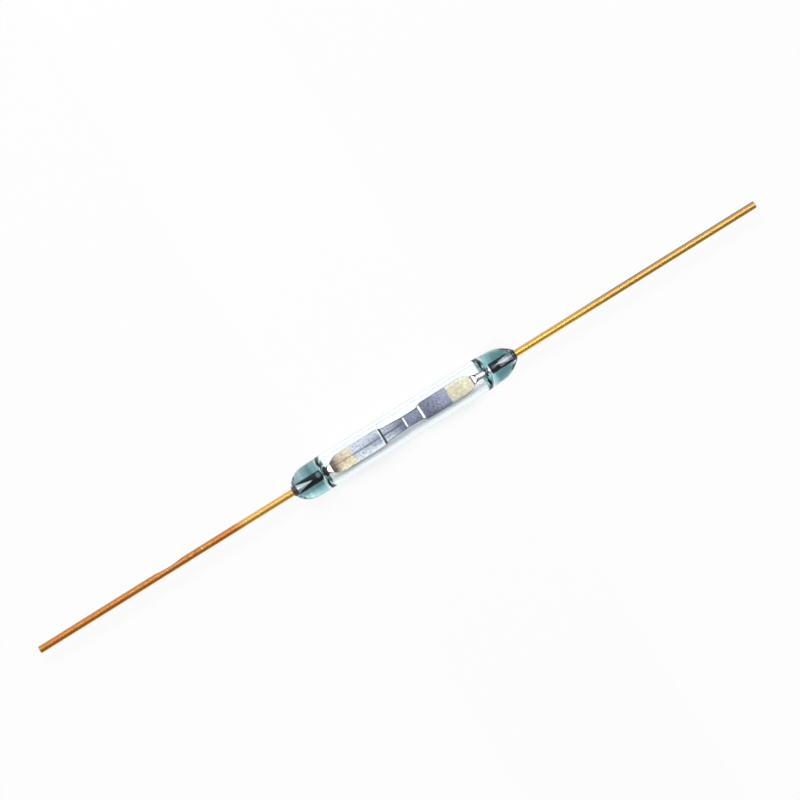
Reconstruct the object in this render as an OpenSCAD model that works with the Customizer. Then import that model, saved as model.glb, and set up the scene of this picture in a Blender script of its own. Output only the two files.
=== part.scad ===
// Glass reed switch: two reeds, each pressed from one round wire, sealed end to
// end in a glass envelope so that their tips overlap with a small contact gap.
// X runs along the wires, Z is square to the blades' flat faces, and the origin
// is the middle of the glass, on the common axis of the two wires.

/* [Glass envelope] */
// Length of the glass from nose to nose
glass_len = 14; // [13:0.5:18]
// Outside diameter of the barrel
glass_d = 1.9; // [1.7:0.05:2.6]
// Wall thickness of the barrel
glass_wall = 0.2; // [0.12:0.01:0.26]
// Width of the flat lip of glass around each wire at the nose
nose_lip = 0.04; // [0.02:0.01:0.08]
// Diameter of the left seal where its dome starts
left_seal_d = 1.87; // [1.6:0.01:1.9]
// Diameter of the right seal where its dome starts
right_seal_d = 1.8; // [1.6:0.01:1.9]
// Length of the left dome, along the axis
left_dome_len = 1.18; // [0.9:0.02:1.6]
// Length of the right dome, along the axis
right_dome_len = 1.44; // [0.9:0.02:1.7]
// Length of solid glass on the left wire, from the nose to the cavity
left_seal_len = 1.8; // [1.7:0.05:2.4]
// Length of solid glass on the right wire, from the nose to the cavity
right_seal_len = 1.65; // [1.6:0.05:2.2]
// Radius of the hollow corner between the flat end of the left plug and the wall
left_plug_corner = 0.42; // [0.1:0.02:0.44]
// Thickness of the collar of glass that runs up the wire from the left plug
collar_t = 0.12; // [0.05:0.01:0.13]
// Thickness of the collar at its end
collar_lip = 0.09; // [0.02:0.01:0.1]
// Share of the round wire between the left plug and the left blade that the collar covers
collar_share = 0.9; // [0.3:0.05:0.95]
// How far the right plug is hollowed by the cavity
right_plug_hollow = 0.56; // [0.1:0.02:0.6]

/* [Leads] */
// Diameter of the wire that each reed is pressed from
lead_d = 0.4; // [0.35:0.01:0.5]
// Length of the left lead outside the glass
left_lead_len = 15.93; // [8:0.01:25]
// Length of the right lead outside the glass
right_lead_len = 15.07; // [8:0.01:25]
// Distance of the tool mark from the end of the left lead
mark_from_end = 8.2; // [2:0.1:14]
// Length of the tool mark along the left lead
mark_len = 1.75; // [1:0.05:3]
// Depth of the tool mark in the side of the left lead
mark_depth = 0.075; // [0.03:0.005:0.12]

/* [Blades] */
// Thickness of the thin paddle that bends
paddle_t = 0.125; // [0.11:0.005:0.16]
// Length of the shoulder that spreads from round wire to flat paddle
shoulder_len = 0.85; // [0.6:0.05:1.2]
// Length of the slanted facet that the press leaves at the wire end of the shoulder
facet_len = 0.27; // [0.15:0.01:0.4]
// Width of the shoulder where the slanted facet ends
facet_w = 0.54; // [0.5:0.01:0.7]
// Round wire between the left plug and the left blade
left_stub_len = 0.37; // [0.05:0.01:0.8]
// Round wire between the right plug and the right blade
right_stub_len = 0.8; // [0.05:0.01:1]
// Length of each contact tip, from its step to its end
tip_len = 1.45; // [1:0.01:1.8]
// Thickness of each contact tip
tip_t = 0.2; // [0.16:0.01:0.24]
// Width of the left contact tip at its step
left_neck_w = 0.79; // [0.7:0.01:0.95]
// Width of the right contact tip at its step
right_neck_w = 0.71; // [0.7:0.01:0.95]
// Width of both contact tips at their ends
tip_end_w = 0.67; // [0.5:0.01:0.7]
// Length over which the paddle narrows into the contact tip
neck_len = 0.45; // [0.3:0.05:0.7]
// Length of the coined ramp between paddle and contact tip
step_len = 0.12; // [0.06:0.01:0.2]
// Bevel around the end of each contact tip
tip_bevel = 0.09; // [0.03:0.01:0.1]

/* [Contact] */
// Air gap between the open contact tips
contact_gap = 0.06; // [0.03:0.01:0.12]
// Length of tip that lies over tip
overlap = 0.48; // [0.2:0.02:0.8]
// Place of the middle of the overlap along the glass
contact_x = -0.13; // [-0.5:0.005:0.5]

/* [Hidden] */
$fn = 64;

glass_r = glass_d / 2;
cavity_r = glass_r - glass_wall;
lead_r = lead_d / 2;
nose_r = lead_r + nose_lip;
nose_x = glass_len / 2;

// Inner end of each plug on the axis, and the rim of the right plug's hollow at the wall
left_plug_x = -nose_x + left_seal_len;
right_plug_x = nose_x - right_seal_len;
right_wall_x = right_plug_x - right_plug_hollow;
// End of the collar on the left wire
left_collar_x = left_plug_x + collar_share * left_stub_len;

// Roots of the blades, where the round wire ends, and the far ends of the tips
left_root_x = left_plug_x + left_stub_len;
right_root_x = right_plug_x - right_stub_len;
left_tip_x = contact_x + overlap / 2;
right_tip_x = contact_x - overlap / 2;

// Height of each tip's middle plane above or below the wires' axis
tip_z = (contact_gap + tip_t) / 2;
// Width of the paddle, pressed from the wire with its section area kept
paddle_w = pressed_w(paddle_t);

// Squeeze where the press first touches the wire, which gives the flats a width there
first_touch = 0.002;

// Resolution of the lofted blade: points on each rounded edge, and rings in each stretch
edge_points = 10;
facet_rings = 3;
spread_rings = 6;
neck_rings = 3;
// Room that a cutting shape has beyond the solid it cuts
cut_room = 1;

// Radius of an arc of the given rise over the given half chord
function arc_radius(half_chord, rise) = (half_chord * half_chord + rise * rise) / (2 * rise);

// Width of the wire once it is pressed to thickness t, with its section area kept
function pressed_w(t) =
    let(squeeze = t / lead_d)
    PI * lead_r / (asin(squeeze) * PI / 180 + squeeze * sqrt(1 - squeeze * squeeze));

// Share of the coined ramp that lies behind the distance s from its middle
function ramp(s) = max(0, min(1, s / step_len + 1 / 2));

// Ring of points around one section of a blade: the round wire stretched to width
// w and pressed flat to thickness t, at the distance s along the blade and height z
function section(s, w, t, z) =
    [for (side = [1, -1], k = [0 : edge_points - 1])
        let(a = asin(t / lead_d) * (2 * k / (edge_points - 1) - 1))
        [s, side * w / 2 * cos(a), z + side * lead_r * sin(a)]];

// Sections of the slanted facet, from the round wire down to the paddle's thickness
function facet_sections() =
    [for (k = [0 : facet_rings])
        let(share = k / facet_rings)
        section(facet_len * share, lead_d + (facet_w - lead_d) * share,
            (lead_d - first_touch) * (1 - share) + paddle_t * share, 0)];

// Sections of the rest of the shoulder, spreading to the flat paddle
function spread_sections() =
    [for (k = [1 : spread_rings])
        let(share = k / spread_rings, spread = sin(90 * share))
        section(facet_len + (shoulder_len - facet_len) * share,
            facet_w + (paddle_w - facet_w) * spread, paddle_t, 0)];

// Sections of the neck around its step at the distance s, down to width neck_w
function neck_sections(s, neck_w) =
    [for (end = [0, 1], k = [0 : neck_rings])
        let(
            near = (end == 0 ? -neck_len / 2 : step_len / 2),
            d = near + (neck_len - step_len) / 2 * k / neck_rings,
            share = (1 - cos(180 * (d / neck_len + 1 / 2))) / 2
        )
        section(s + d, paddle_w + (neck_w - paddle_w) * share,
            paddle_t + (tip_t - paddle_t) * ramp(d), tip_z)];

// Sections of the tapered tip, with a bevel around its end
function tip_sections(blade_len) =
    [section(blade_len - tip_bevel, tip_end_w, tip_t, tip_z),
        section(blade_len, tip_end_w - tip_bevel, tip_t - tip_bevel, tip_z)];

// Solid through a list of rings that have the same number of points
module loft(rings) {
    n = len(rings[0]);
    last = len(rings) - 1;
    sides = [for (i = [0 : last - 1], k = [0 : n - 1])
        let(a = i * n + k, b = i * n + (k + 1) % n)
        each [[a, a + n, b], [b, a + n, b + n]]];
    caps = [[for (k = [0 : n - 1]) k], [for (k = [n - 1 : -1 : 0]) last * n + k]];
    polyhedron(points = [for (ring = rings) each ring], faces = concat(sides, caps));
}

// Blade along +X from its root at the origin, its paddle set to rise to the tip
module pressed_blade(blade_len, neck_w) {
    loft(concat(facet_sections(), spread_sections(),
        neck_sections(blade_len - tip_len, neck_w), tip_sections(blade_len)));
}

// Half section of one dome, from radius seal_r at height 0 up to the nose
module dome_section(seal_r, dome_len) {
    dome_arc = arc_radius(dome_len, seal_r - nose_r);
    intersection() {
        translate([seal_r - dome_arc, 0]) circle(dome_arc);
        square([glass_r + cut_room, dome_len]);
    }
}

// Half section of the glass without its bore and cavity, axis along Y
module outer_section() {
    left_dome_x = left_dome_len - nose_x;
    right_dome_x = nose_x - right_dome_len;
    polygon([
        [0, left_dome_x], [left_seal_d / 2, left_dome_x],
        [glass_r, left_plug_x], [glass_r, right_wall_x],
        [right_seal_d / 2, right_dome_x], [0, right_dome_x]
    ]);
    translate([0, left_dome_x]) mirror([0, 1]) dome_section(left_seal_d / 2, left_dome_len);
    translate([0, right_dome_x]) dome_section(right_seal_d / 2, right_dome_len);
}

// Half section of the collar of glass on the left wire
module collar_section() {
    polygon([
        [0, left_plug_x], [lead_r + collar_t, left_plug_x],
        [lead_r + collar_lip, left_collar_x], [0, left_collar_x]
    ]);
}

// Half section of the cavity: the left plug is flat with a hollow corner at the wall
// and a collar on the wire, and the right plug is hollow
module cavity_section() {
    flat_r = cavity_r - left_plug_corner;
    corner_x = left_plug_x + left_plug_corner;
    hollow_r = arc_radius(cavity_r, right_plug_hollow);
    difference() {
        union() {
            translate([0, left_plug_x]) square([flat_r, left_plug_corner]);
            translate([flat_r, corner_x]) circle(left_plug_corner);
            translate([0, corner_x]) square([cavity_r, right_wall_x - corner_x]);
        }
        collar_section();
    }
    intersection() {
        translate([0, right_plug_x - hollow_r]) circle(hollow_r);
        translate([0, right_wall_x]) square([cavity_r + cut_room, right_plug_hollow + cut_room]);
    }
}

module glass_envelope() {
    color([0.5, 0.78, 0.76, 0.45])
    rotate([0, 90, 0])
    rotate_extrude()
    difference() {
        outer_section();
        cavity_section();
        translate([0, -nose_x - cut_room]) square([lead_r, glass_len + 2 * cut_room]);
    }
}

// Round wire along X from one place to another
module lead_wire(from_x, to_x) {
    translate([from_x, 0, 0]) rotate([0, 90, 0]) cylinder(d = lead_d, h = to_x - from_x);
}

module left_lead() {
    end_x = -nose_x - left_lead_len;
    mark_r = arc_radius(mark_len / 2, mark_depth);
    color([0.85, 0.55, 0.22])
    difference() {
        lead_wire(end_x, left_root_x);
        translate([end_x + mark_from_end, lead_r - mark_depth + mark_r, 0])
            cylinder(r = mark_r, h = lead_d + cut_room, center = true);
    }
}

module right_lead() {
    color([0.87, 0.66, 0.28]) lead_wire(right_root_x, nose_x + right_lead_len);
}

module left_blade() {
    color([0.74, 0.76, 0.82])
    translate([left_root_x, 0, 0])
        pressed_blade(left_tip_x - left_root_x, left_neck_w);
}

module right_blade() {
    color([0.52, 0.53, 0.6])
    translate([right_root_x, 0, 0])
        rotate([0, 180, 0]) pressed_blade(right_root_x - right_tip_x, right_neck_w);
}

glass_envelope();
left_lead();
left_blade();
right_lead();
right_blade();
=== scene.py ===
"""Looks of a glass reed switch: two gold-plated wires, pressed flat inside a sealed glass."""
import math

import bmesh
import bpy
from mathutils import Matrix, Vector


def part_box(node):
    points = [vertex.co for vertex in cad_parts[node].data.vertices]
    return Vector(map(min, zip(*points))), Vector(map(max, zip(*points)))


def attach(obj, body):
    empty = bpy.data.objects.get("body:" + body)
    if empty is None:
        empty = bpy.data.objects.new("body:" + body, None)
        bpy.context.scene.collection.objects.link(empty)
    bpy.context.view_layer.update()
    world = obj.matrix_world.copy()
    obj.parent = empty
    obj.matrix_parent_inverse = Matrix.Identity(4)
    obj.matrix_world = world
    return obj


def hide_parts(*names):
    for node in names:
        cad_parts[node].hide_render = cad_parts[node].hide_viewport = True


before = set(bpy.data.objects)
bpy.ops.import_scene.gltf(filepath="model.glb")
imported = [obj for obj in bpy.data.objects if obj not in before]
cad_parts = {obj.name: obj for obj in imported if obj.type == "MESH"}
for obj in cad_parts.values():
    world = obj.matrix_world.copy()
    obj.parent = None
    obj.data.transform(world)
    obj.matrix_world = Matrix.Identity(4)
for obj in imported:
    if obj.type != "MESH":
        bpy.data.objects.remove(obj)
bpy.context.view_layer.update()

MM = 0.001

# Sizes of the switch, as in the part's source
glass_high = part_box("glass_envelope")[1]
nose_x = glass_high[0]
glass_r = glass_high[1]
glass_wall = 0.2 * MM
cavity_r = glass_r - glass_wall
lead_r = 0.2 * MM
lead_d = 2 * lead_r
nose_r = 0.24 * MM
# The bore is closed onto the wire, so that no air shows between the two
bore_r = lead_r * 0.97
broken_edge = 0.02 * MM
left_seal_r = 0.935 * MM
right_seal_r = 0.9 * MM
left_dome_len = 1.18 * MM
right_dome_len = 1.44 * MM
left_plug_x = -5.2 * MM
left_plug_corner = 0.42 * MM
collar_t = 0.12 * MM
collar_lip = 0.09 * MM
collar_share = 0.9
right_plug_x = 5.35 * MM
right_plug_hollow = 0.56 * MM
left_end_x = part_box("left_lead")[0][0]
right_end_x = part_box("right_lead")[1][0]
left_root_x, left_tip_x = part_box("left_blade")[0][0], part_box("left_blade")[1][0]
right_tip_x, right_root_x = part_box("right_blade")[0][0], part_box("right_blade")[1][0]
left_collar_x = left_plug_x + collar_share * (left_root_x - left_plug_x)
mark_x = left_end_x + 8.2 * MM
mark_len = 1.75 * MM
mark_depth = 0.075 * MM
paddle_t = 0.125 * MM
paddle_w = 1.022 * MM
facet_len = 0.27 * MM
facet_w = 0.54 * MM
shoulder_len = 0.85 * MM
tip_len = 1.45 * MM
tip_t = 0.2 * MM
tip_end_w = 0.67 * MM
left_neck_w = 0.79 * MM
right_neck_w = 0.71 * MM
neck_len = 0.45 * MM
step_len = 0.12 * MM
tip_bevel = 0.09 * MM
tip_z = 0.13 * MM

# Fineness of the meshes
glass_sides = 160
wire_sides = 96
bend_steps = 24
facet_rings = 6
shoulder_rings = 12
neck_rings = 6
# Angles in degrees above which an edge stays sharp
glass_sharp = 35
lead_sharp = 30
blade_sharp = 12
# Short ring beside each corner of the barrel, which keeps its long walls from shading as curved
keep_straight = 0.04 * MM
same_place = 0.0005 * MM


def pick(where):
    """Selects the vertices of the piece in edit mode that lie where the test says."""
    work = bmesh.from_edit_mesh(bpy.context.object.data)
    work.select_mode = {"VERT"}
    for v in work.verts:
        v.select = where(v.co)
    work.select_flush_mode()
    bmesh.update_edit_mesh(bpy.context.object.data)


def on_ring(x):
    return lambda co: abs(co.x - x) < same_place


def round_bar(name, from_x, to_x, radius):
    """Round bar along X, closed at both ends, with its place in its mesh."""
    bpy.ops.object.select_all(action="DESELECT")
    bpy.ops.mesh.primitive_cylinder_add(
        vertices=wire_sides, radius=radius, depth=to_x - from_x,
        location=((from_x + to_x) / 2, 0, 0), rotation=(0, math.pi / 2, 0))
    bar = bpy.context.object
    bar.name = bar.data.name = name
    bpy.ops.object.transform_apply(location=True, rotation=True, scale=True)
    return bar


def cut_rings(places):
    """Cuts the piece in edit mode into rings at places along X."""
    for x in places:
        bpy.ops.mesh.select_all(action="SELECT")
        bpy.ops.mesh.bisect(plane_co=(x, 0, 0), plane_no=(1, 0, 0), threshold=same_place / 10)


def press_ring(x, width, thick, height):
    """Stretches a ring of the round wire to a width and presses it flat to a thickness."""
    ring = on_ring(x)
    pick(ring)
    bpy.ops.transform.resize(value=(1, width / lead_d, 1), center_override=(x, 0, 0))
    for side in (1, -1):
        pick(lambda co: ring(co) and side * co.z > thick / 2)
        bpy.ops.transform.resize(value=(1, 1, 0), center_override=(x, 0, side * thick / 2))
    pick(ring)
    bpy.ops.transform.translate(value=(0, 0, height))


def smooth(piece, angle):
    """Shades a piece smooth, apart from edges sharper than an angle."""
    bpy.ops.object.select_all(action="DESELECT")
    piece.select_set(True)
    bpy.context.view_layer.objects.active = piece
    bpy.ops.object.shade_smooth_by_angle(angle=math.radians(angle))


def arc_radius(half_chord, rise):
    """Radius of the arc that rises by an amount over half its chord."""
    return (half_chord ** 2 + rise ** 2) / (2 * rise)


# The glass: a ring drawn round its whole section, from the left nose and back to it
def glass_section():
    """Places (x, radius) round the section of the glass, outside first."""
    section = []

    def dome(seal_r, dome_len, start_x, way):
        arc = arc_radius(dome_len, seal_r - nose_r)
        last = math.asin(dome_len / arc)
        return [(start_x + way * arc * math.sin(last * k / bend_steps),
                 seal_r - arc + arc * math.cos(last * k / bend_steps)) for k in range(bend_steps + 1)]

    section += reversed(dome(left_seal_r, left_dome_len, left_dome_len - nose_x, -1))
    left_wall_x, right_wall_x = left_plug_x + left_plug_corner, right_plug_x - right_plug_hollow
    section += [(left_plug_x, glass_r), (left_plug_x + keep_straight, glass_r),
                (right_wall_x - keep_straight, glass_r), (right_wall_x, glass_r)]
    section += dome(right_seal_r, right_dome_len, nose_x - right_dome_len, 1)
    section += [(nose_x, bore_r)]
    hollow = arc_radius(cavity_r, right_plug_hollow)
    first, last = math.asin(bore_r / hollow), math.asin(cavity_r / hollow)
    section += [(right_plug_x - hollow + hollow * math.cos(a), hollow * math.sin(a))
                for a in (first + (last - first) * k / bend_steps for k in range(bend_steps + 1))]
    section += [(right_wall_x - keep_straight, cavity_r), (left_wall_x + keep_straight, cavity_r)]
    section += [(left_wall_x - left_plug_corner * math.cos(a),
                 cavity_r - left_plug_corner + left_plug_corner * math.sin(a))
                for a in (math.pi / 2 * (1 - k / bend_steps) for k in range(bend_steps + 1))]
    section += [(left_plug_x, lead_r + collar_t), (left_collar_x, lead_r + collar_lip),
                (left_collar_x, bore_r), (-nose_x, bore_r)]
    return section


def draw_glass():
    section = glass_section()
    x, r = section[0]
    bpy.ops.object.select_all(action="DESELECT")
    bpy.ops.mesh.primitive_circle_add(
        vertices=glass_sides, radius=r, fill_type="NOTHING", location=(x, 0, 0),
        rotation=(0, math.pi / 2, 0))
    glass = bpy.context.object
    glass.name = glass.data.name = "glass_capsule"
    bpy.ops.object.transform_apply(location=True, rotation=True, scale=True)
    bpy.ops.object.mode_set(mode="EDIT")
    bpy.ops.mesh.select_mode(type="EDGE")
    bpy.ops.mesh.select_all(action="SELECT")
    for next_x, next_r in section[1:]:
        bpy.ops.mesh.extrude_edges_move(
            TRANSFORM_OT_translate={"value": (next_x - x, 0, 0)})
        bpy.ops.transform.resize(value=(1, next_r / r, next_r / r), center_override=(next_x, 0, 0))
        x, r = next_x, next_r
    bpy.ops.mesh.select_mode(type="EDGE")
    bpy.ops.mesh.select_all(action="DESELECT")
    bpy.ops.mesh.select_non_manifold()
    bpy.ops.mesh.bridge_edge_loops()
    bpy.ops.mesh.select_all(action="SELECT")
    bpy.ops.mesh.remove_doubles(threshold=same_place / 10)
    bpy.ops.mesh.normals_make_consistent(inside=False)
    bpy.ops.object.mode_set(mode="OBJECT")
    smooth(glass, glass_sharp)
    return glass


# The leads: round wire with broken edges at the cut end, and the tool's mark on the left one
def break_edge(end_x):
    """Narrows the ring at the cut end of the lead in edit mode."""
    pick(on_ring(end_x))
    narrow = 1 - broken_edge / lead_r
    bpy.ops.transform.resize(value=(1, narrow, narrow), center_override=(end_x, 0, 0))


def draw_left_lead():
    lead = round_bar("left_lead_wire", left_end_x, left_root_x, lead_r)
    bpy.ops.object.mode_set(mode="EDIT")
    cutter_r = arc_radius(mark_len / 2, mark_depth)
    mark_places = [mark_x - mark_len / 2 + mark_len * k / bend_steps for k in range(bend_steps + 1)]
    cut_rings([left_end_x + broken_edge] + mark_places)
    break_edge(left_end_x)
    for x in mark_places:
        floor_y = lead_r - mark_depth + cutter_r - math.sqrt(cutter_r ** 2 - (x - mark_x) ** 2)
        pick(lambda co: on_ring(x)(co) and co.y > floor_y)
        bpy.ops.transform.resize(value=(1, 0, 1), center_override=(x, floor_y, 0))
    bpy.ops.object.mode_set(mode="OBJECT")
    smooth(lead, lead_sharp)
    return lead


def draw_right_lead():
    lead = round_bar("right_lead_wire", right_root_x, right_end_x, lead_r)
    bpy.ops.object.mode_set(mode="EDIT")
    cut_rings([right_end_x - broken_edge])
    break_edge(right_end_x)
    bpy.ops.object.mode_set(mode="OBJECT")
    smooth(lead, lead_sharp)
    return lead


# The blades: round wire pressed to a slanted facet, a thin paddle and a coined tip
def blade_rings(blade_len, neck_w):
    """Places along a blade from its root: (distance, width, thickness, height)."""
    rings = []
    for k in range(facet_rings + 1):
        share = k / facet_rings
        rings.append((facet_len * share, lead_d + (facet_w - lead_d) * share,
                      lead_d + (paddle_t - lead_d) * share, 0))
    for k in range(1, shoulder_rings + 1):
        share = k / shoulder_rings
        rings.append((facet_len + (shoulder_len - facet_len) * share,
                      facet_w + (paddle_w - facet_w) * math.sin(math.pi / 2 * share), paddle_t, 0))
    step = blade_len - tip_len
    half = (neck_len - step_len) / 2
    for near in (-neck_len / 2, step_len / 2):
        for k in range(neck_rings + 1):
            d = near + half * k / neck_rings
            share = (1 - math.cos(math.pi * (d / neck_len + 0.5))) / 2
            ramp = max(0, min(1, d / step_len + 0.5))
            rings.append((step + d, paddle_w + (neck_w - paddle_w) * share,
                          paddle_t + (tip_t - paddle_t) * ramp, tip_z))
    rings.append((blade_len - tip_bevel, tip_end_w, tip_t, tip_z))
    rings.append((blade_len, tip_end_w - tip_bevel, tip_t - tip_bevel, tip_z))
    return rings


def draw_blade(name, root_x, tip_x, neck_w):
    way = 1 if tip_x > root_x else -1
    blade = round_bar(name, min(root_x, tip_x), max(root_x, tip_x), lead_r)
    rings = blade_rings(abs(tip_x - root_x), neck_w)
    bpy.ops.object.mode_set(mode="EDIT")
    cut_rings([root_x + way * ring[0] for ring in rings[1:-1]])
    for s, width, thick, height in rings[1:]:
        press_ring(root_x + way * s, width, thick, way * height)
    bpy.ops.object.mode_set(mode="OBJECT")
    smooth(blade, blade_sharp)
    return blade


glass = draw_glass()
left_lead = draw_left_lead()
right_lead = draw_right_lead()
left_blade = draw_blade("left_reed_blade", left_root_x, left_tip_x, left_neck_w)
right_blade = draw_blade("right_reed_blade", right_root_x, right_tip_x, right_neck_w)


# Materials
class Finish:
    """A material with its Principled shader, and short ways to add nodes to it."""

    def __init__(self, name):
        self.material = bpy.data.materials.new(name)
        self.material.use_nodes = True
        self.nodes = self.material.node_tree.nodes
        self.links = self.material.node_tree.links
        self.shader = self.nodes["Principled BSDF"]
        self.output = self.nodes["Material Output"]

    def node(self, kind, settings=None, **inputs):
        n = self.nodes.new(kind)
        for key, value in (settings or {}).items():
            setattr(n, key, value)
        for key, value in inputs.items():
            self.feed(value, n.inputs[key])
        return n

    def feed(self, value, socket):
        if isinstance(value, bpy.types.NodeSocket):
            self.links.new(value, socket)
        else:
            socket.default_value = value

    def set(self, **inputs):
        for key, value in inputs.items():
            self.feed(value, self.shader.inputs[key.replace("_", " ")])

    def place(self):
        """Object coordinates and their X, Y and Z."""
        coord = self.node("ShaderNodeTexCoord").outputs["Object"]
        split = self.node("ShaderNodeSeparateXYZ", Vector=coord)
        return coord, split.outputs["X"], split.outputs["Y"], split.outputs["Z"]

    def math(self, operation, a, b=0.0):
        n = self.node("ShaderNodeMath", {"operation": operation})
        self.feed(a, n.inputs[0])
        self.feed(b, n.inputs[1])
        return n.outputs[0]

    def times(self, a, b):
        return self.math("MULTIPLY", a, b)

    def either(self, a, b):
        """The larger of two masks."""
        return self.math("MAXIMUM", a, b)

    def near(self, value, middle, edge, full):
        """1 within one distance of a middle, fading to 0 at another."""
        return self.ease(self.math("ABSOLUTE", self.math("SUBTRACT", value, middle)), edge, full)

    def ease(self, value, start, end):
        """0 before start, 1 after end, smooth between."""
        n = self.node("ShaderNodeMapRange", {"interpolation_type": "SMOOTHSTEP"})
        self.feed(value, n.inputs["Value"])
        n.inputs["From Min"].default_value = start
        n.inputs["From Max"].default_value = end
        return n.outputs["Result"]

    def scale_to(self, value, low, high):
        """A value from 0 to 1, spread over a range."""
        n = self.node("ShaderNodeMapRange")
        self.feed(value, n.inputs["Value"])
        n.inputs["To Min"].default_value = low
        n.inputs["To Max"].default_value = high
        return n.outputs["Result"]

    def mix(self, share, a, b):
        n = self.node("ShaderNodeMix", {"data_type": "RGBA"})
        factor, first, second = n.inputs[0], n.inputs[6], n.inputs[7]
        self.feed(share, factor)
        self.feed(a, first)
        self.feed(b, second)
        return n.outputs[2]

    def spot(self, coord, centre, radius):
        """1 near a place, fading to 0 at a radius from it."""
        n = self.node("ShaderNodeVectorMath", {"operation": "DISTANCE"})
        self.feed(coord, n.inputs[0])
        self.feed(centre, n.inputs[1])
        return self.ease(n.outputs["Value"], radius, radius * 0.4)

    def noise(self, coord, stretch, scale, detail=4.0):
        """Noise on coordinates stretched by three factors."""
        turned = self.node("ShaderNodeMapping", Vector=coord)
        turned.inputs["Scale"].default_value = stretch
        n = self.node("ShaderNodeTexNoise", Vector=turned.outputs["Vector"], Scale=scale, Detail=detail)
        return n.outputs["Fac"]

    def bump(self, height, strength, distance):
        n = self.node("ShaderNodeBump", Height=height, Strength=strength, Distance=distance)
        self.feed(n.outputs["Normal"], self.shader.inputs["Normal"])


def rgb(r, g, b):
    """Linear colour from the 0 to 255 values of a screen colour."""
    def linear(c):
        c /= 255
        return c / 12.92 if c <= 0.04045 else ((c + 0.055) / 1.055) ** 2.4
    return (linear(r), linear(g), linear(b), 1.0)


def grey(level):
    return (level, level, level, 1)


def seal_green_and_painted_light(f, coord, x, y, left_low_painted_light):
    """Streaky green, with painted light low on the left seal, at both ends low on the right one and in
    one spot.
    """
    streak = f.ease(f.noise(coord, (1, 0.6, 0.6), 2600.0, 2.0), 0.44, 0.64)
    green = f.mix(streak, (0.09, 0.36, 0.365, 1), (0.28, 0.66, 0.66, 1))
    painted_lit_green = f.mix(streak, (0.2, 0.55, 0.55, 1), (0.42, 0.78, 0.78, 1))
    painted_bright_green = (0.5, 0.84, 0.85, 1)
    at_plug = f.times(f.ease(x, right_plug_x - 0.15 * MM, right_plug_x),
                      f.ease(x, right_plug_x + 0.24 * MM, right_plug_x + 0.08 * MM))
    at_nose = f.ease(x, 6.0 * MM, 6.4 * MM)
    right_low_painted_light = f.times(f.either(at_plug, at_nose), f.times(f.ease(y, 0.0, -0.12 * MM), 0.7))
    # Painted light in one spot low on the left seal
    painted_gleam = f.spot(coord, (-6.2 * MM, 0.12 * MM, -0.87 * MM), 0.34 * MM)
    return f.mix(f.either(right_low_painted_light, painted_gleam), f.mix(left_low_painted_light, green, painted_lit_green), painted_bright_green)


def plug_painted_shade(f, x, y, z):
    """Painted shade where the left collar is dark, and in two patches of the left plug's hollow corner.
    """
    r = f.math("SQRT", f.math("ADD", f.times(y, y), f.times(z, z)))
    collar = f.times(f.ease(x, left_plug_x - 0.03 * MM, left_plug_x + 0.01 * MM),
                     f.ease(r, lead_r + 0.17 * MM, lead_r + 0.14 * MM))
    corner = f.times(f.ease(r, cavity_r + 0.05 * MM, cavity_r + 0.02 * MM),
                     f.times(f.ease(x, left_plug_x - 0.02 * MM, left_plug_x),
                             f.ease(x, left_plug_x + 0.32 * MM, left_plug_x + 0.25 * MM)))
    upper = f.ease(y, 0.36 * MM, 0.44 * MM)
    lower = f.times(f.ease(y, -0.32 * MM, -0.38 * MM), f.ease(y, -0.72 * MM, -0.66 * MM))
    return f.either(collar, f.times(corner, f.either(upper, lower)))


def sealing_glass():
    """Clear drawn tube, wavy and green where its ends were melted shut, with painted light and shade in
    the seals and painted shade at the left plug.
    """
    f = Finish("sealing_glass")
    coord, x, y, z = f.place()
    clear = (1, 1, 1, 1)
    # The second tone is painted shade, used beside the wire low in the left seal
    shade = (0.3, 0.36, 0.37, 1)
    painted_dark = (0.02, 0.045, 0.045, 1)
    melted = f.either(f.ease(x, left_plug_x + 0.05 * MM, left_plug_x - 0.15 * MM),
                      f.ease(x, right_plug_x - 0.18 * MM, right_plug_x + 0.02 * MM))
    pooled = f.times(melted, f.ease(z, 0.1 * MM, -0.1 * MM))
    left_low_painted_light = f.times(f.ease(x, -left_dome_len, -2 * left_dome_len), f.ease(y, 0.0, -0.08 * MM))
    # Painted shade beside the wire, low in the left seal
    painted_shade = f.times(f.times(left_low_painted_light, melted),
                     f.times(f.ease(z, 0.1 * MM, 0.3 * MM), f.ease(y, -0.62 * MM, -0.45 * MM)))
    melt_and_painted_light = f.mix(painted_shade, f.mix(pooled, clear, seal_green_and_painted_light(f, coord, x, y, left_low_painted_light)), shade)
    # Painted shade at the left plug's collar and corner goes over the rest
    f.set(Base_Color=f.mix(plug_painted_shade(f, x, y, z), melt_and_painted_light, painted_dark),
          Roughness=0.0, IOR=1.5, Transmission_Weight=1.0)
    ripple = f.noise(coord, (0.7, 1, 1), 2600.0, 1.0)
    f.bump(f.times(ripple, melted), 0.25, 0.03 * MM)
    tint = f.node("ShaderNodeVolumeAbsorption")
    tint.inputs["Color"].default_value = (0.0, 0.5, 0.55, 1.0)
    tint.inputs["Density"].default_value = 150.0
    f.links.new(tint.outputs["Volume"], f.output.inputs["Volume"])
    return f.material


def on_wire(x, y):
    """Place on the upper side of the round wire."""
    return (x, y, math.sqrt(lead_r ** 2 - y ** 2))


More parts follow.
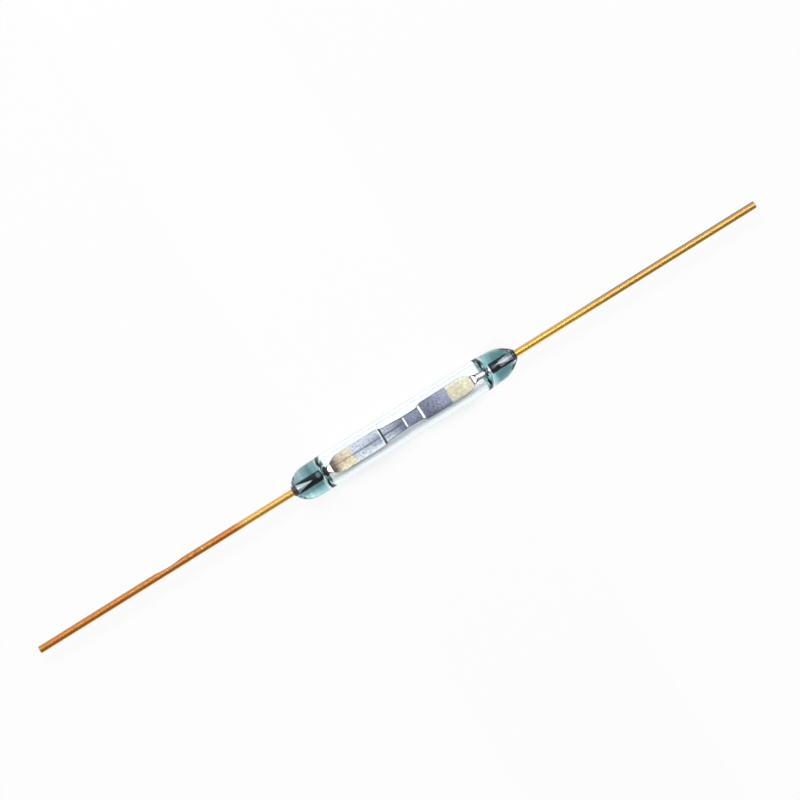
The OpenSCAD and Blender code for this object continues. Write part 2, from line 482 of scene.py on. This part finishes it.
def painted_glint_wedge(f, x, y, way, glint_wedge):
    """Long painted glint on the sealed wire, widening from a point: places of its point and wide end,
    its middle and half width.
    """
    point_x, wide_x, middle_y, half_w = glint_wedge
    spread = f.node("ShaderNodeMapRange", Value=x)
    spread.inputs["From Min"].default_value = point_x
    spread.inputs["From Max"].default_value = wide_x
    spread.inputs["To Max"].default_value = half_w
    off_middle = f.math("ABSOLUTE", f.math("SUBTRACT", y, middle_y))
    within = f.math("SUBTRACT", spread.outputs["Result"], off_middle)
    return f.times(f.ease(within, 0.0, 0.03 * MM),
                   f.ease(f.times(x, way), way * wide_x, way * wide_x - 0.04 * MM))


def gilt_wire(name, way, gold, end_gold, turn, plug_x, stub, glint_wedge, painted_glint_tone, pale, painted_light_tone,
              nose_painted_tone, specks):
    """Gold plate outside the glass, dark bare wire with a long painted glint and a pale spot of painted
    light inside it.

    way is 1 where the lead runs to +X. The gold turns to the tone of the cut end between two places.
    The stub is what shows inside the tube. The pale spot, painted light, and the specks have a place
    and a radius.
    """
    f = Finish(name)
    coord, x, y = f.place()[:3]
    outward = f.times(x, way)
    inward = f.times(x, -way)
    inside = f.ease(inward, -nose_x - 0.02 * MM, -nose_x + 0.12 * MM)
    draw_lines = f.noise(coord, (0.03, 1, 1), 9000.0, 2.0)
    blotch = f.noise(coord, (0.5, 1, 1), 2500.0, 4.0)
    plate = f.mix(f.times(f.ease(x, *turn), f.scale_to(blotch, 0.6, 1.4)), gold, end_gold)
    for speck_x, speck_y, speck_r, tone in specks:
        plate = f.mix(f.times(f.spot(coord, on_wire(speck_x, speck_y), speck_r), 0.8), plate, tone)
    # Painted light on the dark bare wire: the pale spot, and a lighter tone towards the nose
    lit_spot_x, lit_spot_y, lit_spot_r = pale
    dark = f.mix(f.spot(coord, on_wire(lit_spot_x, lit_spot_y), lit_spot_r), rgb(34, 40, 44), painted_light_tone)
    wide_x = glint_wedge[1]
    dark = f.mix(f.ease(outward, way * wide_x, way * wide_x + 0.08 * MM), dark, nose_painted_tone)
    # A painted glint, narrowing to a point along the sealed wire
    bright = painted_glint_wedge(f, x, y, way, glint_wedge)
    in_tube = f.ease(inward, -way * plug_x - 0.02 * MM, -way * plug_x + 0.02 * MM)
    bare = f.mix(in_tube, f.mix(bright, dark, painted_glint_tone), stub)
    sealed_roughness = f.mix(bright, grey(0.4), grey(0.5))
    f.set(Base_Color=f.mix(inside, plate, bare), Metallic=1.0,
          Roughness=f.mix(inside, f.scale_to(draw_lines, 0.34, 0.42), sealed_roughness))
    f.bump(f.times(draw_lines, f.math("SUBTRACT", 1.0, inside)), 0.04, 0.004 * MM)
    return f.material


def left_gilt_wire():
    return gilt_wire(
        "left_gilt_wire", way=-1, gold=rgb(255, 202, 116), end_gold=rgb(226, 150, 80),
        turn=(-9.8 * MM, -10.8 * MM), plug_x=left_plug_x, stub=rgb(36, 40, 42),
        glint_wedge=(-5.7 * MM, -6.62 * MM, 0.0, 0.2 * MM), painted_glint_tone=rgb(246, 253, 254),
        pale=(-5.36 * MM, 0.06 * MM, 0.17 * MM), painted_light_tone=rgb(150, 164, 174),
        nose_painted_tone=rgb(76, 84, 82),
        specks=[(-13.6 * MM, 0.04 * MM, 0.16 * MM, rgb(196, 138, 82)),
                (-13.1 * MM, 0.04 * MM, 0.14 * MM, rgb(190, 138, 88)),
                (-12.7 * MM, 0.02 * MM, 0.08 * MM, rgb(255, 236, 190))])


def right_gilt_wire():
    return gilt_wire(
        "right_gilt_wire", way=1, gold=rgb(250, 200, 108), end_gold=rgb(240, 190, 112),
        # The right stub's near white is a painted reflection
        turn=(9.5 * MM, 13.5 * MM), plug_x=right_plug_x + 0.05 * MM, stub=rgb(248, 248, 254),
        glint_wedge=(5.6 * MM, 6.72 * MM, 0.035 * MM, 0.21 * MM), painted_glint_tone=rgb(184, 190, 204),
        pale=(5.62 * MM, 0.02 * MM, 0.14 * MM), painted_light_tone=rgb(88, 94, 104),
        nose_painted_tone=rgb(104, 112, 128),
        specks=[(9.59 * MM, 0.02 * MM, 0.07 * MM, rgb(212, 150, 76)),
                (12.2 * MM, 0.02 * MM, 0.07 * MM, rgb(206, 142, 72))])


def pressed_facet(f, from_root, y, bright):
    """Painted shade on the round wire before a round line across it, where the press first met it, and
    bright from it on.
    """
    start = f.math("ADD", f.times(f.times(y, y), 3.0 / MM), 0.03 * MM)
    past = f.math("SUBTRACT", from_root, start)
    return f.mix(f.ease(past, -0.02 * MM, 0.02 * MM), rgb(60, 60, 62), bright)


def grained(f, coord, plate, depth):
    """Fine grain that the rolled metal keeps under its plate."""
    grain = f.noise(coord, (1, 1, 1), 9500.0, 3.0)
    n = f.node("ShaderNodeMix", {"data_type": "RGBA", "blend_type": "MULTIPLY"})
    n.inputs[0].default_value = 1.0
    f.feed(plate, n.inputs[6])
    f.feed(f.scale_to(grain, 1 - depth, 1 + depth), n.inputs[7])
    return n.outputs[2]


def left_silver(f, x, along, low_side_painted_light, rim_painted_light):
    """Silver of the left blade, with painted light low on it and at its edges, dark towards the tip."""
    silver = f.mix(f.ease(along, 1.9 * MM, 3.3 * MM), rgb(199, 207, 223), rgb(156, 165, 182))
    # Painted light low on the blade, weaker further along it
    light_side = f.times(low_side_painted_light, f.scale_to(f.ease(along, 2.2 * MM, 3.2 * MM), 0.5, 0.1))
    silver = f.mix(light_side, silver, rgb(206, 213, 227))
    silver = f.mix(rim_painted_light, silver, f.mix(low_side_painted_light, rgb(196, 202, 214), rgb(236, 243, 250)))
    dark_tip = f.mix(low_side_painted_light, rgb(92, 100, 116), rgb(94, 106, 122))
    return f.mix(f.ease(x, -1.2 * MM, 0.05 * MM), silver, dark_tip)


def left_cream(f, along, low_side_painted_light, rim_painted_light):
    """Brown painted shade at the root turning to cream and then pale gold, with painted light low and
    at the edges.
    """
    cream = f.mix(low_side_painted_light, rgb(196, 179, 158), rgb(222, 205, 178))
    cream = f.mix(rim_painted_light, cream, f.mix(low_side_painted_light, rgb(202, 186, 168), rgb(250, 240, 216)))
    # Painted shade in brown at the root
    root_painted_shade = f.mix(low_side_painted_light, rgb(88, 76, 66), rgb(88, 78, 66))
    cream = f.mix(f.ease(along, 0.4 * MM, 0.92 * MM), root_painted_shade, cream)
    gilded = f.times(f.ease(along, 1.0 * MM, 1.45 * MM), f.scale_to(low_side_painted_light, 0.55, 0.85))
    return f.mix(gilded, cream, rgb(232, 231, 196))


def left_contact_plate():
    """Painted brown shade and cream where the plate starts, then silver, with painted shade along a
    pressed line in the middle.
    """
    f = Finish("left_contact_plate")
    coord, x, y = f.place()[:3]
    brush = f.noise(coord, (0.06, 1, 1), 26000.0, 3.0)
    mottle = f.noise(coord, (0.6, 1, 1), 7000.0, 5.0)
    from_root = f.math("SUBTRACT", x, left_root_x)
    along = f.math("ADD", from_root, f.scale_to(mottle, -0.12 * MM, 0.12 * MM))
    # Painted light: lighter low on the blade and at its edges
    low_side_painted_light = f.ease(y, 0.08 * MM, -0.08 * MM)
    rim_painted_light = f.ease(f.math("ABSOLUTE", y), 0.15 * MM, 0.42 * MM)
    plate = f.mix(f.ease(along, 1.58 * MM, 1.68 * MM), left_cream(f, along, low_side_painted_light, rim_painted_light),
                  left_silver(f, x, along, low_side_painted_light, rim_painted_light))
    facet = f.ease(from_root, facet_len + 0.01 * MM, facet_len - 0.01 * MM)
    plate = f.mix(facet, plate, pressed_facet(f, from_root, y, rgb(196, 197, 199)))
    # Painted shade along a pressed line in the middle, darker on the silver and darkest near the step
    crease = f.times(f.near(y, 0.01 * MM, 0.09 * MM, 0.01 * MM), f.math("SUBTRACT", 1.0, facet))
    on_silver = f.ease(along, 1.4 * MM, 1.7 * MM)
    depth = f.math("ADD", f.scale_to(on_silver, 0.5, 0.75),
                   f.scale_to(f.ease(x, -1.6 * MM, -1.2 * MM), 0.0, 0.2))
    crease_painted_shade = f.mix(on_silver, rgb(112, 94, 78), rgb(84, 90, 102))
    plate = f.mix(f.times(crease, depth), plate, crease_painted_shade)
    # Painted shade on the coined step with a painted highlight just before it, and a painted highlight
    # on the tip's bevel
    step_x = left_tip_x - tip_len
    foot_painted_highlight = f.near(x, step_x - 0.1 * MM, 0.05 * MM, 0.03 * MM)
    plate = f.mix(f.times(foot_painted_highlight, 0.7), plate, rgb(238, 240, 246))
    plate = f.mix(f.near(x, step_x, 0.07 * MM, 0.05 * MM), plate, rgb(66, 72, 84))
    bevel_x = left_tip_x - tip_bevel
    plate = f.mix(f.ease(x, bevel_x - 0.01 * MM, bevel_x + 0.01 * MM), plate, rgb(158, 160, 170))
    f.set(Base_Color=grained(f, coord, plate, 0.75), Metallic=1.0,
          Roughness=f.scale_to(brush, 0.24, 0.34))
    f.bump(f.math("ADD", brush, f.times(mottle, 1.5)), 0.14, 0.003 * MM)
    return f.material


def right_contact_plate():
    """Mottled cream where the plate starts, then slate, with painted light and shade at its sides and
    past the facet, and a painted highlight on the step.
    """
    f = Finish("right_contact_plate")
    coord, x, y = f.place()[:3]
    mottle = f.noise(coord, (1.2, 1, 1), 5000.0, 4.0)
    from_root = f.math("SUBTRACT", right_root_x, x)
    along = f.math("ADD", from_root, f.scale_to(mottle, -0.12 * MM, 0.12 * MM))
    low_side_painted_light = f.ease(y, -0.25 * MM, -0.45 * MM)
    rim_painted_light = f.ease(f.math("ABSOLUTE", y), 0.25 * MM, 0.42 * MM)
    slate = f.mix(f.ease(along, 3.2 * MM, 1.9 * MM), rgb(103, 108, 126), rgb(140, 147, 169))
    # Painted shade low on the slate
    slate = f.mix(low_side_painted_light, slate, f.mix(0.5, slate, rgb(70, 74, 84)))
    slate = f.mix(f.ease(along, 3.55 * MM, 3.6 * MM), slate, rgb(110, 115, 134))
    cream = f.mix(f.ease(mottle, 0.42, 0.62), rgb(194, 190, 163), rgb(214, 208, 181))
    # Painted light at the upper edge of the cream and painted shade at its lower edge
    cream = f.mix(rim_painted_light, cream, f.mix(low_side_painted_light, rgb(218, 217, 201), rgb(182, 180, 160)))
    plate = f.mix(f.ease(along, 1.7 * MM, 1.8 * MM), grained(f, coord, cream, 0.4),
                  grained(f, coord, slate, 1.2))
    # Painted shade in a dark band where the facet ends
    plate = f.mix(f.ease(from_root, facet_len + 0.06 * MM, facet_len), plate, rgb(70, 68, 66))
    facet = f.ease(from_root, facet_len - 0.04 * MM, facet_len - 0.06 * MM)
    plate = f.mix(facet, plate, pressed_facet(f, from_root, y, rgb(200, 199, 208)))
    # Painted highlight on the step
    step = f.near(x, right_tip_x + tip_len, 0.08 * MM, 0.05 * MM)
    f.set(Base_Color=f.mix(step, plate, rgb(164, 166, 178)), Metallic=1.0,
          Roughness=f.scale_to(mottle, 0.26, 0.32))
    f.bump(mottle, 0.05, 0.004 * MM)
    return f.material


def dress(piece, material, body, slot, *nodes):
    """Gives a piece its material and its body, and hides the nodes that it stands for. The slot is not
    used.
    """
    piece.data.materials.clear()
    piece.data.materials.append(material)
    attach(piece, body)
    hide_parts(*nodes)


dress(glass, sealing_glass(), "capsule", "glass", "glass_envelope")
dress(left_lead, left_gilt_wire(), "capsule", "gold_plate", "left_lead")
dress(right_lead, right_gilt_wire(), "capsule", "gold_plate", "right_lead")
dress(left_blade, left_contact_plate(), "left_blade", "contact_plate", "left_blade")
dress(right_blade, right_contact_plate(), "right_blade", "contact_plate", "right_blade")
# Light reaches the blades and the paper below through the clear glass
glass.visible_shadow = False


# Floor, lights and camera
floor_size = 1.2
floor_drop = 0.5 * MM
lamp_distance = 0.35
shade_r = 0.8 * MM
shade_inset = 0.3 * MM
right_shade_y = 0.85 * MM


def lay_floor():
    """White paper: nearly without shadow by itself, overexposed where the glass shows it."""
    bpy.ops.object.select_all(action="DESELECT")
    bpy.ops.mesh.primitive_plane_add(size=floor_size, location=(0, 0, -glass_r - floor_drop))
    floor = bpy.context.object
    floor.name = "floor"
    f = Finish("floor_paper")
    x, y = f.place()[1:3]
    # Its tone follows how many faces of the glass it is seen through, and whether metal mirrors it
    path = f.node("ShaderNodeLightPath").outputs
    through = path["Transmission Depth"]
    in_glass = f.math("GREATER_THAN", through, 0.5)
    under_barrel = f.times(f.ease(x, left_plug_x - 0.2 * MM, left_plug_x + 0.2 * MM),
                           f.ease(x, right_plug_x - 0.2 * MM, right_plug_x - 0.6 * MM))
    in_wall = f.times(f.math("LESS_THAN", through, 2.5), under_barrel)
    straight_or_wall = f.either(f.math("LESS_THAN", through, 0.5), in_wall)
    off_metal = f.times(f.math("GREATER_THAN", path["Glossy Depth"], 0.5),
                        f.either(straight_or_wall, f.math("GREATER_THAN", through, 2.5)))
    bare_lit = f.mix(under_barrel, grey(0.05), grey(0.16))
    bare_glow = f.mix(under_barrel, grey(0.925), grey(0.797))
    lit = f.mix(in_glass, bare_lit, grey(0.86))
    glow = f.mix(in_glass, bare_glow, (0.12, 0.155, 0.185, 1))
    # Painted light on the paper as mirrors show it: lighter to +Y through the barrel's wall and beside
    # the left lead, darker far along the right lead
    wall = f.mix(f.ease(y, -0.3 * MM, 0.3 * MM), (1.0, 1.04, 1.06, 1), (1.1, 1.11, 1.12, 1))
    beside_left = f.mix(f.ease(y, -0.1 * MM, 0.1 * MM), grey(0.6), grey(1.1))
    beside_right = f.mix(f.ease(x, 9.5 * MM, 13.5 * MM), grey(0.9), grey(0.38))
    beside = f.mix(f.math("GREATER_THAN", x, 0.0), beside_left, beside_right)
    mirrored = f.mix(in_glass, f.mix(under_barrel, beside, grey(0.9)),
                     f.mix(in_wall, grey(0.15), wall))
    f.set(Base_Color=f.mix(off_metal, lit, grey(0)), Roughness=0.9, Specular_IOR_Level=0.0,
          Emission_Color=f.mix(off_metal, glow, mirrored), Emission_Strength=1.0)
    floor.data.materials.append(f.material)
    return floor


def lamp_at(name, size, lean, heading, radiance):
    """Flat lamp aimed at the switch, leaning from overhead by an angle towards a heading."""
    lean, heading = math.radians(lean), math.radians(heading)
    bpy.ops.object.light_add(
        type="AREA", rotation=(lean, 0, heading + math.pi / 2),
        location=(lamp_distance * math.sin(lean) * math.cos(heading),
                  lamp_distance * math.sin(lean) * math.sin(heading), lamp_distance * math.cos(lean)))
    lamp = bpy.context.object
    lamp.name = name
    lamp.data.shape = "RECTANGLE"
    lamp.data.size, lamp.data.size_y = size
    lamp.data.energy = radiance * math.pi * size[0] * size[1]
    return lamp


def light_only(lamp, pieces):
    """Keeps the light of a lamp to some pieces."""
    lit = bpy.data.collections.new(lamp.name)
    for piece in pieces:
        lit.objects.link(piece)
    lamp.light_linking.receiver_collection = lit


def softbox(name, size, lean, heading, radiance, only=(), on_glass=False):
    """Lamp that all the metal mirrors, or only some pieces, and the glass where it is wanted there."""
    lamp = lamp_at(name, size, lean, heading, radiance)
    lamp.visible_diffuse = False
    lamp.data.cycles.use_multiple_importance_sampling = on_glass
    if only:
        light_only(lamp, only)


def light_floor(floor):
    """Lamp that only the paper sees, so that the blades throw their shadow to -Y on it."""
    lamp = lamp_at("floor_key", (0.14, 0.14), 26, 90, 17.9)
    lamp.visible_glossy = lamp.visible_transmission = lamp.visible_camera = False
    light_only(lamp, (floor,))


def shade_seal(name, from_x, to_x, y):
    """Stands in for the shadow of a solid seal on the paper, and shows in no other way."""
    shade = round_bar(name, from_x, to_x, shade_r)
    shade.location.y = y
    shade.visible_camera = shade.visible_diffuse = shade.visible_glossy = False
    shade.visible_transmission = shade.visible_volume_scatter = False


light_floor(lay_floor())
shade_seal("left_seal_shade", -nose_x + shade_inset, left_plug_x, 0.0)
shade_seal("right_seal_shade", right_plug_x, nose_x - shade_inset, right_shade_y)
softbox("left_top_box", (0.16, 0.3), 28, 112, 1.1)
softbox("right_top_box", (0.32, 0.14), 12, -20, 1.1)
softbox("right_box", (0.3, 0.24), 46, 0, 4.0, (glass, left_blade, right_blade), on_glass=True)
softbox("right_lead_box", (0.14, 0.06), 5, 90, 3.5, (right_lead,))
softbox("blade_box", (0.32, 0.14), 12, -20, 0.36, (left_blade, right_blade))
softbox("left_box", (0.3, 0.2), 55, 180, 6.0, (right_blade,))

scene = bpy.context.scene


def light_studio():
    """White where it is seen straight or through the glass, darker where it is mirrored."""
    world = bpy.data.worlds.new("studio")
    world.use_nodes = True
    nodes, links = world.node_tree.nodes, world.node_tree.links
    path = nodes.new("ShaderNodeLightPath")
    turns = nodes.new("ShaderNodeMath")
    links.new(path.outputs["Glossy Depth"], turns.inputs[0])
    links.new(path.outputs["Diffuse Depth"], turns.inputs[1])
    mirrored = nodes.new("ShaderNodeMath")
    mirrored.operation = "GREATER_THAN"
    mirrored.inputs[1].default_value = 0.5
    links.new(turns.outputs[0], mirrored.inputs[0])
    way = nodes.new("ShaderNodeTexCoord")
    split = nodes.new("ShaderNodeSeparateXYZ")
    links.new(way.outputs["Generated"], split.inputs["Vector"])
    side = nodes.new("ShaderNodeMapRange")
    dark_side, light_side = 0.18, 0.6
    side.inputs["From Min"].default_value, side.inputs["From Max"].default_value = -0.8, 0.8
    side.inputs["To Min"].default_value, side.inputs["To Max"].default_value = dark_side, light_side
    links.new(split.outputs["Y"], side.inputs["Value"])
    strength = nodes.new("ShaderNodeMix")
    links.new(mirrored.outputs[0], strength.inputs[0])
    strength.inputs[2].default_value = 1.0
    links.new(side.outputs["Result"], strength.inputs[3])
    links.new(strength.outputs[0], nodes["Background"].inputs["Strength"])
    nodes["Background"].inputs["Color"].default_value = (1, 1, 1, 1)
    # The lamps do the lighting, so plain white isn't sampled as one more lamp
    world.cycles.sampling_method = "NONE"
    scene.world = world


light_studio()
scene.view_settings.view_transform = "Standard"

# Camera straight above the switch, which lies turned in the picture
px_per_mm = 18.72
picture_px = 800
px = 1 / px_per_mm * MM
picture_turn = math.radians(31.943)
right_dir = (math.cos(picture_turn), -math.sin(picture_turn))
up_dir = (math.sin(picture_turn), math.cos(picture_turn))
off_right, off_up = -4.1 * px, 22.9 * px
view_side = picture_px * px
lens, sensor = 150.0, 36.0
bpy.ops.object.camera_add(
    location=(right_dir[0] * off_right + up_dir[0] * off_up,
              right_dir[1] * off_right + up_dir[1] * off_up, lens / sensor * view_side),
    rotation=(0, 0, -picture_turn))
camera = bpy.context.object
camera.data.lens, camera.data.sensor_width = lens, sensor
camera.data.clip_start, camera.data.clip_end = 0.005, 10.0
scene.camera = camera
